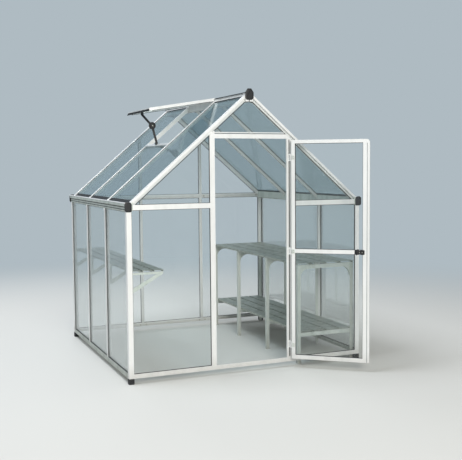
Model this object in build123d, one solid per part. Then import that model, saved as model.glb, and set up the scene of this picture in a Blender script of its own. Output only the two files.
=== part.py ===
from build123d import *
from math import atan2, cos, sin, tan, radians, degrees, hypot, acos
import os

# Grid of the house in millimetres. The origin is the underside of the front left foot,
# X runs right along the front wall, Y runs from the front wall to the back, Z is up.
span_x = 1810.0             # between the centres of the left and right corner posts
span_y = 1785.0             # between the centres of the front and back corner posts
side_bays = 3               # glazed bays along each side wall and each roof slope
eave_line = 1230.0          # height of the rafter centre line over the side walls
ridge_line = 2017.0         # height of the rafter centre line under the ridge
doorway_offset = 14.0       # middle of the doorway, right of the middle of the house
doorway_pitch = 607.0       # between the centres of the two door posts
header_drop = 13.0          # from the underside of the rafter at the right door post to the bar's mid line
gutter_drop = 28.0          # from the eave line down to the underside of the gutters

# Aluminium sections
post_width = 36.0           # corner posts, both ways
post_leg = 16.0             # thickness of the two legs of a corner section
rail_width = 36.0           # eave bars
base_rail_width = 31.0
header_width = 32.0
door_post_width = 38.0
stud_width = 24.0           # wall studs, roof bars and vent sill
bar_depth = 30.0            # from the outer face inwards
flange_depth = 13.0         # outer flange, which holds the panes
web_width = 18.0            # inner web, which holds the bolt channel
bolt_slot = 8.0
bolt_slot_depth = 10.0
roof_rise = 19.5            # from the rafter line up to the roof, square to the slope
rafter_height = 36.0        # square to the slope
rafter_leg = 16.0           # thickness of the two legs of a rafter
groove_width = 3.0          # fine grooves along the outer faces
groove_depth = 1.0
groove_pitch = 14.0
groove_min_width = 28.0     # narrower bars have no grooves
corner_round = 4.0

# Clear panes
pane_thickness = 4.0
pane_setback = 6.0          # from the outer face of the bars to the pane
pane_lap = 10.0             # how far a pane runs into each bar

# Eave gutters, rolled in one piece with the eave beam
gutter_width = 56.0
gutter_height = 62.0
gutter_flare = 10.0         # how far the trough stands out from the wall bars
gutter_lip = 4.0
trough_depth = 24.0
trough_inner = 14.0         # from the centre of the post to the inner side of the trough
trough_bevel = 7.0          # at the bottom corners of the trough
gutter_cove = 10.0          # bevel under the gutter, inside and outside
gutter_lip_face = 21.0      # height of the upper band on the outer side
gutter_lip_under = 9.0      # how far the lower band stands back under it
gutter_lip_slant = 5.0      # slanted underside of the upper band
gutter_overrun = 3.0        # past the outer face of the end walls
cap_thickness = 7.0
cap_margin = 2.5            # how far the black caps stand out around the profile
cap_corner = 14.0

# Ridge beam
ridge_width = 56.0
ridge_rise = 18.0           # from the ridge line up to the flat top
ridge_shoulder = 10.0
ridge_flat = 26.0
bead_radius = 6.0           # hinge bead along both upper edges
bead_inset = 1.0            # of the bead's axis from the side of the ridge beam
bead_clearance = 0.3
ridge_cap_margin = 4.5
ridge_cap_over = 29.0       # above the flat top
ridge_cap_under = 12.0      # above the underside of the beam
ridge_cap_corner = (8.0, 18.0)

# Roof vent in the middle bay of the left slope, propped open
vent_length = 541.0         # from the hinge bead to the free edge
vent_angle = 31.8           # how far it is lifted off the roof
vent_bar_width = 26.0
vent_bar_depth = 22.0
vent_lap = 0.0              # past the middle of the roof bars, at both sides
vent_drip = (8.0, 4.0)      # reach and thickness of the lip along the free edge
hook_reach = 5.0            # how far the vent's hinge rail hooks over the bead
sill_inset = 30.0           # the sill's middle inside the free edge of the closed vent
stay_lower = 142.0          # pivot to pivot
stay_upper = 121.0
stay_width = 18.0
stay_thickness = 4.0
stay_gap = 0.3              # between the two arms at the elbow
stay_reach = 26.0           # upper pivot inside the free edge of the vent
stay_standoff = 14.0        # pivots off the sill and off the vent
stay_seat = 4.0             # how far the brackets' feet reach into what they stand on
knob_radius = 20.0
knob_length = 18.0
knob_lobes = 6
knob_lobe_place = 1.18      # of the knob's radius
knob_lobe_size = 0.36       # of the knob's radius
knob_collar = 5.0           # round length next to the arm

# Door, hung on the right post and swung out
door_angle = 140.0          # from closed
door_side_gap = 31.0        # door is this much narrower than the pitch of its posts
door_bottom = 70.0
door_head_gap = 11.0        # between the door's top and the underside of the header
door_depth = 24.0
door_gap = 7.0              # from the outer face of the posts to the closed door
door_hinge_stile = 27.0
door_free_stile = 48.0
door_rail = 29.0
door_head_rail = 25.0
door_foot_rail = 29.0
door_corner = 26.0          # rounded top corner at the free edge
door_mid_line = 879.0
door_groove_inset = 16.0    # of the groove on each stile from the door's side
door_pane_depth = 14.0      # from the inner face of the door to the pane
hinge_insets = (104.0, 4.0, 128.0)  # above the foot, under the mid line, under the top
hinge_post_inset = 17.0     # of the pin from the inner side of the door post
hinge_edge_gap = 9.0        # from the pin's axis to the edge of the door
hinge_face_gap = 16.0       # from the pin's axis to the inner face of the door
pin_radius = 4.0
pin_clearance = 0.1
knuckle_radius = 6.5
knuckle_length = 30.0
lug_height = 10.0
lug_width = 10.0
hinge_end_gap = 0.5
hinge_web = 6.0             # thickness of the web between knuckle and door
plate_thickness = 3.0
plate_width = 17.0
latch_inset = 35.0          # from the free edge of the door
latch_plate = (72.0, 34.0, 5.0)
latch_round = 6.0
latch_knob_inset = 6.0
latch_knob = 13.0
latch_knob_height = 14.0

# Feet
foot_width = 40.0
foot_height = 40.0
foot_chamfer = 4.0

# Shelf along the left wall and two-tier staging along the right wall
slat_thickness = 14.0
slat_wall = 2.0
slat_gap = 14.0
slat_dish = (3.0, 1.0)      # slope and depth of the shallow channel along a slat
shelf_height = 790.0
shelf_depth = 232.0
shelf_slats = 3
shelf_setoff = 4.0          # from the wall bars to the shelf
shelf_end_gap = 5.0
bracket_thickness = 4.0
bracket_drop = 150.0
bracket_band = 16.0
bracket_flange = 3.0        # plate between the bracket and the wall bar
staging_near = 1315.0       # face of the legs towards the path, along X
staging_tiers = (250.0, 770.0)
staging_slats = 4
staging_end_gap = 26.0
leg_width = 26.0
leg_wall = 4.0
tie_height = 30.0
tie_thickness = 20.0
gusset_radius = 70.0

# Worked out from the sizes above
half = span_x / 2
post_top = eave_line - gutter_drop
ridge_top = ridge_line + ridge_rise
slope = atan2(ridge_line - eave_line, half)
post_half = post_width / 2
front_face = -post_half
back_face = span_y + post_half
rail_bottom = foot_height
rail_top = rail_bottom + base_rail_width
bay = span_y / side_bays
roof_top_offset = roof_rise / cos(slope)
rafter_under_offset = (rafter_height - roof_rise) / cos(slope)
pane_under_offset = (roof_rise - pane_setback - pane_thickness) / cos(slope)
door_post_left = half + doorway_offset - doorway_pitch / 2
door_post_right = half + doorway_offset + doorway_pitch / 2
post_side = door_post_width / 2
gutter_half = gutter_width / 2
ridge_half = ridge_width / 2
inner_face = bar_depth - post_half


def rafter_line(x):
    return eave_line + min(x, span_x - x) * tan(slope)


def roof_top(x):
    return rafter_line(x) + roof_top_offset


def pane_under(x):
    return rafter_line(x) + pane_under_offset


def rafter_under(x):
    return rafter_line(x) - rafter_under_offset


header_line = rafter_under(door_post_right - post_side) - header_drop
door_top = header_line - header_width / 2 - door_head_gap
door_width = doorway_pitch - door_side_gap
hinge_heights = (door_bottom + hinge_insets[0], door_mid_line - hinge_insets[1], door_top - hinge_insets[2])


# Sections, drawn with the outer face on the U axis and V pointing outwards
def grooved_edge(width):
    places = (-groove_pitch / 2, groove_pitch / 2) if width > groove_min_width else ()
    points = [(-width / 2, 0.0)]
    for place in places:
        left, right = place - groove_width / 2, place + groove_width / 2
        points += [(left, 0.0), (left, -groove_depth), (right, -groove_depth), (right, 0.0)]
    return points + [(width / 2, 0.0)]


def bar_section(width):
    w, s = web_width / 2, bolt_slot / 2
    points = grooved_edge(width)
    points += [(width / 2, -flange_depth), (w, -flange_depth), (w, -bar_depth)]
    points += [(s, -bar_depth), (s, -bar_depth + bolt_slot_depth)]
    points += [(-s, -bar_depth + bolt_slot_depth), (-s, -bar_depth)]
    points += [(-w, -bar_depth), (-w, -flange_depth), (-width / 2, -flange_depth)]
    return points


def corner_section(across, deep, leg):
    g, d = groove_width, groove_depth
    mid_u, mid_v = across / 2 - g / 2, deep / 2 - g / 2
    return [(0, 0), (0, -mid_v), (d, -mid_v), (d, -mid_v - g), (0, -mid_v - g), (0, -deep),
            (leg, -deep), (leg, -leg), (across, -leg), (across, 0),
            (mid_u + g, 0), (mid_u + g, -d), (mid_u, -d), (mid_u, 0)]


def outline(points):
    return make_face(Polyline(*points, close=True))


def stick(points, start, end, outward):
    """A straight length of a section from start to end, its outer face towards outward."""
    start, end, outward = Vector(*start), Vector(*end), Vector(*outward)
    along = end - start
    plane = Plane(origin=start, x_dir=outward.cross(along), z_dir=along)
    return extrude(plane * outline(points), along.length)


def slab_xz(points, y0, y1):
    """An outline in X and Z, from y0 to y1."""
    plane = Plane(origin=(0, y0, 0), x_dir=(1, 0, 0), z_dir=(0, -1, 0))
    return extrude(plane * outline(points), -(y1 - y0))


def block(x0, x1, y0, y1, z0, z1):
    box = Box(x1 - x0, y1 - y0, z1 - z0)
    return Pos((x0 + x1) / 2, (y0 + y1) / 2, (z0 + z1) / 2) * box


def flip_x(shape):
    return mirror(shape, Plane.YZ.offset(half))


def flip_y(shape):
    return mirror(shape, Plane.XZ.offset(-span_y / 2))


def cut(shape, tools):
    for tool in tools:
        shape = shape - tool
    return shape


def solids_of(shapes):
    return [solid for shape in shapes for solid in shape.solids()]


nodes = {}


def keep(name, *shapes):
    nodes[name] = solids_of(shapes)


# Station lines of the studs and roof bars between the end walls
stations = [bay * i for i in range(1, side_bays)]
lines = [0.0] + stations + [span_y]


def bar_half_at(i):
    return post_half if i in (0, side_bays) else stud_width / 2


# Eave gutter over the left wall
def gutter_points():
    z, out = post_top, post_half + gutter_flare
    lip_top = z + gutter_height
    floor = lip_top - trough_depth
    b, s = trough_bevel, gutter_lip_slant
    lip_low, back = lip_top - gutter_lip_face, -out + gutter_lip_under
    return [(post_half, z), (gutter_half, z + gutter_cove), (gutter_half, pane_under(gutter_half)),
            (trough_inner, pane_under(trough_inner)), (trough_inner, floor + b),
            (trough_inner - b, floor), (-out + gutter_lip + b, floor),
            (-out + gutter_lip, floor + b), (-out + gutter_lip, lip_top),
            (-out, lip_top), (-out, lip_low), (-out + s, lip_low - s), (back, lip_low - s),
            (back, z + gutter_cove), (-post_half, z)]


gutter_ends = (front_face - gutter_overrun, back_face + gutter_overrun)
left_gutter = slab_xz(gutter_points(), *gutter_ends)
gutter_out = post_half + gutter_flare
gutter_cover = slab_xz(
    [(gutter_half, post_top), (gutter_half, pane_under(gutter_half)),
     (-gutter_out, pane_under(-gutter_out)), (-gutter_out, post_top)], *gutter_ends)


def cap_points():
    m = cap_margin
    low, high = post_top - m, pane_under(gutter_half) + m
    left, right = -gutter_out - m, gutter_half + m
    c = cap_corner
    return [(left + c, low), (right - c, low), (right, low + c), (right, high - c / 2),
            (right - c / 2, high), (left + c, high), (left, high - c), (left, low + c)]


front_cap = slab_xz(cap_points(), gutter_ends[0] - cap_thickness, gutter_ends[0])
caps = [front_cap, flip_y(front_cap), flip_x(front_cap), flip_x(flip_y(front_cap))]

# Ridge beam
def ridge_points():
    low = rafter_under(half - ridge_half)
    s = bolt_slot / 2
    right = [(s, low + bolt_slot_depth), (s, low), (ridge_half, low),
             (ridge_half, ridge_top - ridge_shoulder), (ridge_flat / 2, ridge_top)]
    left = [(-x, z) for x, z in reversed(right)]
    return [(half + x, z) for x, z in right + left]


ridge = slab_xz(ridge_points(), *gutter_ends)
bead_z = ridge_top - ridge_shoulder + bead_radius
bead_x = half - ridge_half + bead_inset


def rod_y(x, z, radius, y0, y1):
    return Pos(x, (y0 + y1) / 2, z) * Rot(90, 0, 0) * Cylinder(radius, y1 - y0)


bead = rod_y(bead_x, bead_z, bead_radius, *gutter_ends)
ridge = ridge + bead + flip_x(bead)


def ridge_cap_points():
    low, high = rafter_under(half - ridge_half) + ridge_cap_under, ridge_top + ridge_cap_over
    w = ridge_half + ridge_cap_margin
    a, c = ridge_cap_corner
    right = [(w - a, low), (w, low + a), (w, high - c), (w - c, high)]
    left = [(-x, z) for x, z in reversed(right)]
    return [(half + x, z) for x, z in right + left]


ridge_cap = slab_xz(ridge_cap_points(), gutter_ends[0] - cap_thickness, gutter_ends[0])

# Gable rafters, roof bars and the panes between them on the left slope
slope_dir = Vector(cos(slope), 0, sin(slope))
slope_up = Vector(-sin(slope), 0, cos(slope))
ridge_side = half - ridge_half
roof_zone = block(0, ridge_side, -200, span_y + 200, 0, 2 * ridge_top)


def on_roof(x, y, depth):
    """A point on the left slope, depth below the top of the bars."""
    return (x, y, roof_top(x) - depth / cos(slope))


def roof_stick(points, y):
    bar = stick(points, on_roof(-gutter_width, y, 0), on_roof(half, y, 0), slope_up)
    return (bar & roof_zone) - gutter_cover


rafter_section = [(x - post_half, z) for x, z in corner_section(post_width, rafter_height, rafter_leg)]
front_rafter = roof_stick([(-x, z) for x, z in rafter_section], 0.0)
roof_bars = [roof_stick(bar_section(stud_width), y) for y in stations]

sill_x = bead_x - (vent_length - sill_inset) * cos(slope)
pane_low_x = 4.0


def roof_pane(i, x0, x1):
    y0 = lines[i] + bar_half_at(i) - pane_lap
    y1 = lines[i + 1] - bar_half_at(i + 1) + pane_lap
    d0, d1 = pane_setback, pane_setback + pane_thickness
    points = [on_roof(x0, 0, d0), on_roof(x1, 0, d0), on_roof(x1, 0, d1), on_roof(x0, 0, d1)]
    return slab_xz([(p[0], p[2]) for p in points], y0, y1)


ridge_pane_x = ridge_side + pane_lap * cos(slope)
sill_pane_x = sill_x - (stud_width / 2 - pane_lap) * cos(slope)
vent_bay = side_bays // 2
left_roof_panes = [
    roof_pane(i, pane_low_x, sill_pane_x if i == vent_bay else ridge_pane_x) for i in range(side_bays)]
right_roof_panes = [flip_x(roof_pane(i, pane_low_x, ridge_pane_x)) for i in range(side_bays)]

vent_y0, vent_y1 = lines[vent_bay], lines[vent_bay + 1]
sill = stick(bar_section(stud_width), on_roof(sill_x, vent_y0 + web_width / 2, 0),
             on_roof(sill_x, vent_y1 - web_width / 2, 0), slope_up)
sill = cut(sill, roof_bars)

# Walls: posts, studs, rails and bars
below_rafters = slab_xz(
    [(-post_half, 0), (span_x + post_half, 0), (span_x + post_half, rafter_under(span_x + post_half)),
     (half, rafter_under(half)), (-post_half, rafter_under(-post_half))], -200, span_y + 200)


def corner_post():
    section = [(x - post_half, y + post_half) for x, y in corner_section(post_width, post_width, post_leg)]
    face = outline([(x, -y) for x, y in section])
    edge = face.vertices().sort_by_distance((-post_half, -post_half, 0))[0]
    face = fillet(edge, corner_round)
    return Pos(0, 0, rail_bottom) * extrude(face, post_top - rail_bottom)


front_left_post = corner_post()
posts = [front_left_post, flip_x(front_left_post), flip_y(front_left_post),
         flip_x(flip_y(front_left_post))]


def wall_stud(y):
    return stick(bar_section(stud_width), (front_face, y, rail_top), (front_face, y, post_top), (-1, 0, 0))


left_studs = [wall_stud(y) for y in stations]


def end_stud(x, width):
    stud = stick(bar_section(width), (x, front_face, rail_top), (x, front_face, ridge_line), (0, -1, 0))
    return stud & below_rafters


door_posts = [end_stud(door_post_left, door_post_width), end_stud(door_post_right, door_post_width)]


def end_bar(x0, x1, z, width):
    return stick(bar_section(width), (x0, front_face, z), (x1, front_face, z), (0, -1, 0))


rail_mid = rail_bottom + base_rail_width / 2
front_rail = end_bar(post_half, span_x - post_half, rail_mid, base_rail_width)
left_rail = stick(bar_section(base_rail_width), (front_face, post_half, rail_mid),
                  (front_face, span_y - post_half, rail_mid), (-1, 0, 0))
header = end_bar(door_post_left + post_side, door_post_right - post_side, header_line, header_width)
eave_left = end_bar(gutter_half, door_post_left - post_side, eave_line, rail_width)
eave_right = end_bar(door_post_right + post_side, span_x - gutter_half, eave_line, rail_width)

# Back wall: the same grid as the front, with a bar across the middle bay as well
back_stud_left = flip_y(end_stud(door_post_left, stud_width))
back_stud_right = flip_y(end_stud(span_x - door_post_left, stud_width))
stud_side = stud_width / 2
back_bar_left = flip_y(end_bar(gutter_half, door_post_left - stud_side, eave_line, rail_width))
back_bar_mid = flip_y(end_bar(door_post_left + stud_side, span_x - door_post_left - stud_side, eave_line,
                              rail_width))


# Wall panes
def wall_pane(i):
    y0 = lines[i] + bar_half_at(i) - pane_lap
    y1 = lines[i + 1] - bar_half_at(i + 1) + pane_lap
    x0 = front_face + pane_setback
    return block(x0, x0 + pane_thickness, y0, y1, rail_top - pane_lap, post_top + pane_lap)


pane_y0 = front_face + pane_setback
pane_y1 = pane_y0 + pane_thickness


def end_pane(x0, x1, z0, z1):
    return block(x0 - pane_lap, x1 + pane_lap, pane_y0, pane_y1, z0 - pane_lap, z1 + pane_lap)


def gable_pane(x0, x1, z0):
    """A pane from bar to bar, its top edges up under the rafters."""
    low, lap = z0 - pane_lap, pane_lap / cos(slope)
    a, b = x0 - pane_lap, x1 + pane_lap
    points = [(a, low), (b, low), (b, rafter_under(b) + lap)]
    if a < half < b:
        points.append((half, rafter_under(half) + lap))
    points.append((a, rafter_under(a) + lap))
    return slab_xz(points, pane_y0, pane_y1)


def corner_gable_pane(x1):
    """The three-cornered pane over the eave bar."""
    low, lap = eave_line + rail_width / 2 - pane_lap, pane_lap / cos(slope)
    a = (low - lap - rafter_under(0)) / tan(slope)
    b = x1 + pane_lap
    return slab_xz([(a, low), (b, low), (b, rafter_under(b) + lap)], pane_y0, pane_y1) - gutter_cover


bar_top, bar_low = eave_line + rail_width / 2, eave_line - rail_width / 2
left_wall_panes = [wall_pane(i) for i in range(side_bays)]
right_wall_panes = [flip_x(p) for p in left_wall_panes]
front_panes = [
    end_pane(post_half, door_post_left - post_side, rail_top, bar_low) - gutter_cover,
    end_pane(door_post_right + post_side, span_x - post_half, rail_top, bar_low) - flip_x(gutter_cover)]
gable_panes = [
    corner_gable_pane(door_post_left - post_side),
    gable_pane(door_post_left + post_side, door_post_right - post_side, header_line + header_width / 2),
    flip_x(corner_gable_pane(span_x - door_post_right - post_side))]
back_side_pane = flip_y(end_pane(post_half, door_post_left - stud_side, rail_top, bar_low) - gutter_cover)
back_right = span_x - door_post_left
back_panes = [
    back_side_pane, flip_x(back_side_pane),
    flip_y(end_pane(door_post_left + stud_side, back_right - stud_side, rail_top, bar_low))]
back_corner_pane = flip_y(corner_gable_pane(door_post_left - stud_side))
back_gable_panes = [
    back_corner_pane, flip_x(back_corner_pane),
    flip_y(gable_pane(door_post_left + stud_side, back_right - stud_side, bar_top))]

# Roof vent, built about its hinge bead and tilted by the angle it stands open
vent_tilt = slope - radians(vent_angle)
vent_along = Vector(-cos(vent_tilt), 0, -sin(vent_tilt))
vent_up = Vector(-sin(vent_tilt), 0, cos(vent_tilt))
vent_depth_half = vent_bar_depth / 2
vent_side_y = (vent_y0 - vent_lap, vent_y1 + vent_lap)


def vent_point(s, n):
    return (bead_x - s * cos(vent_tilt) - n * sin(vent_tilt), bead_z - s * sin(vent_tilt) + n * cos(vent_tilt))


def vent_slab(s0, s1, n0, n1, y0, y1):
    return slab_xz([vent_point(s0, n0), vent_point(s1, n0), vent_point(s1, n1), vent_point(s0, n1)], y0, y1)


vent_start = bead_radius + bead_clearance
d = vent_depth_half
hinge_rail = vent_slab(-hook_reach, vent_start + vent_bar_width, -d, d, *vent_side_y)
hinge_rail = hinge_rail - rod_y(bead_x, bead_z, vent_start, *gutter_ends) - ridge
hinge_rail = hinge_rail.solids().sort_by(SortBy.VOLUME)[-1]
free_rail = vent_slab(vent_length - vent_bar_width, vent_length, -d, d, *vent_side_y)
free_rail = free_rail + vent_slab(vent_length, vent_length + vent_drip[0], -d, -d + vent_drip[1], *vent_side_y)
side_s = (vent_start + vent_bar_width, vent_length - vent_bar_width)
vent_sides = [
    vent_slab(*side_s, -d, d, vent_side_y[0], vent_side_y[0] + vent_bar_width),
    vent_slab(*side_s, -d, d, vent_side_y[1] - vent_bar_width, vent_side_y[1])]
vent_pane = vent_slab(side_s[0] - pane_lap, side_s[1] + pane_lap, d - pane_setback - pane_thickness,
                      d - pane_setback, vent_side_y[0] + vent_bar_width - pane_lap,
                      vent_side_y[1] - vent_bar_width + pane_lap)

# Stay that props the vent: two arms that meet at a black knob
mid_y = (vent_y0 + vent_y1) / 2
lower_pivot = Vector(sill_x, 0, roof_top(sill_x) + stay_standoff)
upper_x, upper_z = vent_point(vent_length - stay_reach, -d - stay_standoff)
upper_pivot = Vector(upper_x, 0, upper_z)
pivot_gap = (upper_pivot - lower_pivot).length
fold = (stay_lower ** 2 + pivot_gap ** 2 - stay_upper ** 2) / (2 * stay_lower * pivot_gap)
aim = atan2(upper_pivot.Z - lower_pivot.Z, upper_pivot.X - lower_pivot.X) - acos(min(1.0, fold))
elbow = lower_pivot + Vector(cos(aim), 0, sin(aim)) * stay_lower


def stay_arm(a, b, y0, y1):
    along = degrees(atan2(b.Z - a.Z, b.X - a.X))
    middle = (a + b) * 0.5
    arm = SlotCenterToCenter((b - a).length, stay_width)
    plane = Plane(origin=(middle.X, y1, middle.Z), x_dir=(1, 0, 0), z_dir=(0, -1, 0))
    return extrude(plane * Rot(0, 0, along) * arm, y1 - y0)


arms = [stay_arm(lower_pivot, elbow, mid_y - stay_thickness, mid_y),
        stay_arm(elbow, upper_pivot, mid_y + stay_gap, mid_y + stay_gap + stay_thickness)]


def stay_bracket(pivot, foot_x, foot_z, y0, y1):
    """A lug from its seat up to the pivot, on the free side of the arm."""
    side = Vector(foot_z - pivot.Z, 0, pivot.X - foot_x).normalized() * (stay_width / 2)
    foot = Vector(foot_x, 0, foot_z)
    corners = [pivot + side, foot + side, foot - side, pivot - side]
    lug = slab_xz([(c.X, c.Z) for c in corners], y0, y1)
    return lug + rod_y(pivot.X, pivot.Z, stay_width / 2, y0, y1)


sill_foot = Vector(sill_x, 0, roof_top(sill_x)) - slope_up * stay_seat
vent_foot = vent_point(vent_length - stay_reach, -d + stay_seat)
brackets = [stay_bracket(lower_pivot, sill_foot.X, sill_foot.Z, mid_y, mid_y + stay_width) - sill,
            stay_bracket(upper_pivot, *vent_foot, mid_y - stay_width, mid_y)
            - free_rail - vent_slab(*side_s, -d, d, *vent_side_y)]
knob_face = mid_y - stay_thickness
knob = rod_y(elbow.X, elbow.Z, knob_radius, knob_face - knob_length, knob_face)
for turn in range(knob_lobes):
    angle = radians(360 / knob_lobes * turn)
    lobe = knob_radius * knob_lobe_place
    knob = knob - rod_y(elbow.X + lobe * cos(angle), elbow.Z + lobe * sin(angle),
                        knob_radius * knob_lobe_size, knob_face - knob_length - 1, knob_face - knob_collar)

# Door, drawn closed and then swung out about its pins
pin_x = door_post_right + post_side - hinge_post_inset
pin_y = front_face - door_gap - hinge_face_gap
door_right = pin_x - hinge_edge_gap
door_left = door_right - door_width
door_in = front_face - door_gap
door_out = door_in - door_depth
free_inner = door_left + door_free_stile
hinge_inner = door_right - door_hinge_stile


def door_block(x0, x1, z0, z1):
    return block(x0, x1, door_out, door_in, z0, z1)


def grooved(bar, x, z0, z1):
    """Cuts the shallow groove that runs along the outer face of a stile."""
    return bar - block(x - groove_width / 2, x + groove_width / 2, door_out, door_out + groove_depth, z0, z1)


free_stile = door_block(door_left, free_inner, door_bottom, door_top)
corner_edge = free_stile.edges().filter_by(Axis.Y).sort_by(lambda e: e.center().X - e.center().Z)[0]
free_stile = fillet(corner_edge, door_corner)
hinge_stile = door_block(hinge_inner, door_right, door_bottom, door_top)
top_rail = door_block(free_inner, hinge_inner, door_top - door_head_rail, door_top)
mid_rail = door_block(free_inner, hinge_inner, door_mid_line - door_rail / 2, door_mid_line + door_rail / 2)
foot_rail = door_block(free_inner, hinge_inner, door_bottom, door_bottom + door_foot_rail)
free_stile = grooved(free_stile, door_left + door_groove_inset, door_bottom, door_top - door_head_rail)
hinge_stile = grooved(hinge_stile, door_right - door_groove_inset, door_bottom, door_top)

door_pane_y = (door_in - door_pane_depth, door_in - door_pane_depth + pane_thickness)


def door_pane(z0, z1):
    return block(free_inner - pane_lap, hinge_inner + pane_lap, *door_pane_y, z0 - pane_lap, z1 + pane_lap)


door_panes = [door_pane(door_bottom + door_foot_rail, door_mid_line - door_rail / 2),
              door_pane(door_mid_line + door_rail / 2, door_top - door_head_rail)]
stiles = [cut(s, door_panes) for s in (free_stile, hinge_stile)]
door_rails = [cut(s, door_panes) for s in (foot_rail, mid_rail, top_rail)]


def rod_z(x, y, radius, z0, z1):
    return Pos(x, y, (z0 + z1) / 2) * Cylinder(radius, z1 - z0)


def frame_hinge(z):
    """The fixed half: a plate on the door post, two lugs and the pin between them."""
    half_knuckle = knuckle_length / 2 + hinge_end_gap
    hinge = block(pin_x - lug_width / 2, pin_x - lug_width / 2 + plate_width, front_face - plate_thickness,
                  front_face, z - half_knuckle - lug_height, z + half_knuckle + lug_height)
    for z0 in (z - half_knuckle - lug_height, z + half_knuckle):
        hinge = hinge + rod_z(pin_x, pin_y, knuckle_radius, z0, z0 + lug_height)
        hinge = hinge + block(pin_x - lug_width / 2, pin_x + lug_width / 2, pin_y, front_face, z0, z0 + lug_height)
    return hinge + rod_z(pin_x, pin_y, pin_radius, z - half_knuckle, z + half_knuckle)


def door_hinge(z):
    """The moving half: a bored knuckle with a web to the edge of the door."""
    z0, z1 = z - knuckle_length / 2, z + knuckle_length / 2
    web = block(door_right, pin_x, pin_y - hinge_web / 2, pin_y + hinge_web / 2, z0, z1)
    knuckle = rod_z(pin_x, pin_y, knuckle_radius, z0, z1) + web
    return knuckle - rod_z(pin_x, pin_y, pin_radius + pin_clearance, z0 - 1, z1 + 1)


def latch_side(face, outward):
    """A plate on one face of the door with a round turn knob."""
    long, tall, thick = latch_plate
    x0 = door_left + latch_inset
    y0, y1 = sorted((face, face + outward * thick))
    plate = block(x0, x0 + long, y0, y1, door_mid_line - tall / 2, door_mid_line + tall / 2)
    plate = fillet(plate.edges().filter_by(Axis.Y), latch_round)
    y2 = face + outward * (thick + latch_knob_height)
    knob_x = x0 + long - latch_knob - latch_knob_inset
    grip = rod_y(knob_x, door_mid_line, latch_knob, *sorted((face + outward * thick, y2)))
    return plate + grip


latches = [latch_side(door_in, 1), latch_side(door_out, -1)]

swing = Pos(pin_x, pin_y, 0) * Rot(0, 0, door_angle) * Pos(-pin_x, -pin_y, 0)


def swung(shapes):
    return [swing * s for s in shapes]


# Shelf and staging
def slat_section(width):
    w, t, h = width / 2, slat_wall, slat_thickness
    run, dish = slat_dish
    return [(-w, -h), (-w, 0), (-w / 2, 0), (-w / 2 + run, -dish), (w / 2 - run, -dish), (w / 2, 0), (w, 0),
            (w, -h), (w - t, -h), (w - t, -t - dish), (-w + t, -t - dish), (-w + t, -h)]


def slats(x0, x1, count, top, y0, y1):
    width = (x1 - x0 - slat_gap * (count - 1)) / count
    made = []
    for i in range(count):
        x = x0 + width / 2 + i * (width + slat_gap)
        made.append(stick(slat_section(width), (x, y0, top), (x, y1, top), (0, 0, 1)))
    return made


shelf_x0 = inner_face + shelf_setoff
shelf_x1 = shelf_x0 + shelf_depth
shelf = slats(shelf_x0, shelf_x1, shelf_slats, shelf_height, shelf_end_gap, span_y - shelf_end_gap)


def shelf_bracket(y, wall_x):
    top = shelf_height - slat_thickness
    outer = slab_xz([(wall_x, top), (shelf_x1, top), (shelf_x1, top - bracket_band),
                     (wall_x + bracket_band, top - bracket_drop), (wall_x, top - bracket_drop)],
                    y - bracket_thickness / 2, y + bracket_thickness / 2)
    b = bracket_band
    run, fall = shelf_x1 - wall_x - b, bracket_drop - b
    inset = b * hypot(run, fall) / run
    reach = (fall - inset) / fall * run
    hole = slab_xz([(wall_x + b, top - b), (wall_x + reach, top - b), (wall_x + b, top - bracket_drop + inset + b)],
                   y - bracket_thickness, y + bracket_thickness)
    flange = block(wall_x, wall_x + bracket_flange, y - web_width / 2, y + web_width / 2, top - bracket_drop, top)
    return outer - hole + flange


corner_wall_x = -post_half + post_leg
bracket_y = post_half - web_width / 2 + 1.0
shelf_brackets = [shelf_bracket(y, inner_face) for y in stations]
shelf_brackets += [shelf_bracket(bracket_y, corner_wall_x), shelf_bracket(span_y - bracket_y, corner_wall_x)]

staging_far = span_x - inner_face
staging_ys = [staging_end_gap] + [y - web_width / 2 for y in stations]
staging_ys += [span_y - staging_end_gap - leg_width]
tier_rests = [t - slat_thickness for t in staging_tiers]


def staging_leg(x, y, turn):
    w, t = leg_width, leg_wall
    section = outline([(0, 0), (w, 0), (w, t), (t, t), (t, w), (0, w)])
    if turn:
        section = mirror(section, Plane.YZ)
    return Pos(x, y, 0) * extrude(section, tier_rests[-1])


staging_legs = []
for y in staging_ys:
    staging_legs += [staging_leg(staging_near, y, False), staging_leg(staging_far, y, True)]


def staging_tie(y, top, gusset):
    """A cross bar between two legs, with round gussets under its ends on the upper tier."""
    x0, x1 = staging_near + leg_wall, staging_far - leg_wall
    drop = gusset_radius if gusset else 0.0
    tie = block(x0, x1, y + leg_wall, y + leg_wall + tie_thickness, top - tie_height - drop, top)
    if gusset:
        r = gusset_radius
        inner0, inner1 = staging_near + leg_width, staging_far - leg_width
        opening = block(inner0, inner1, y - 1, y + 2 * leg_width, top - tie_height - 3 * r, top - tie_height)
        upper = opening.edges().filter_by(Axis.Y).group_by(Axis.Z)[-1]
        tie = tie - fillet(upper, r)
    return tie


ties = []
for y in staging_ys:
    ties += [staging_tie(y, tier_rests[0], False), staging_tie(y, tier_rests[1], True)]
deck_ends = (staging_end_gap, span_y - staging_end_gap)
upper_deck = slats(staging_near, staging_far, staging_slats, staging_tiers[1], *deck_ends)
lower_deck = slats(staging_near + leg_width, staging_far - leg_width, staging_slats, staging_tiers[0], *deck_ends)


def foot(x, y):
    base = block(x - foot_width / 2, x + foot_width / 2, y - foot_width / 2, y + foot_width / 2, 0, foot_height)
    return chamfer(base.edges().group_by(Axis.Z)[0], foot_chamfer)


feet = [foot(x, y) for x in (0, span_x) for y in (0, span_y)]

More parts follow.
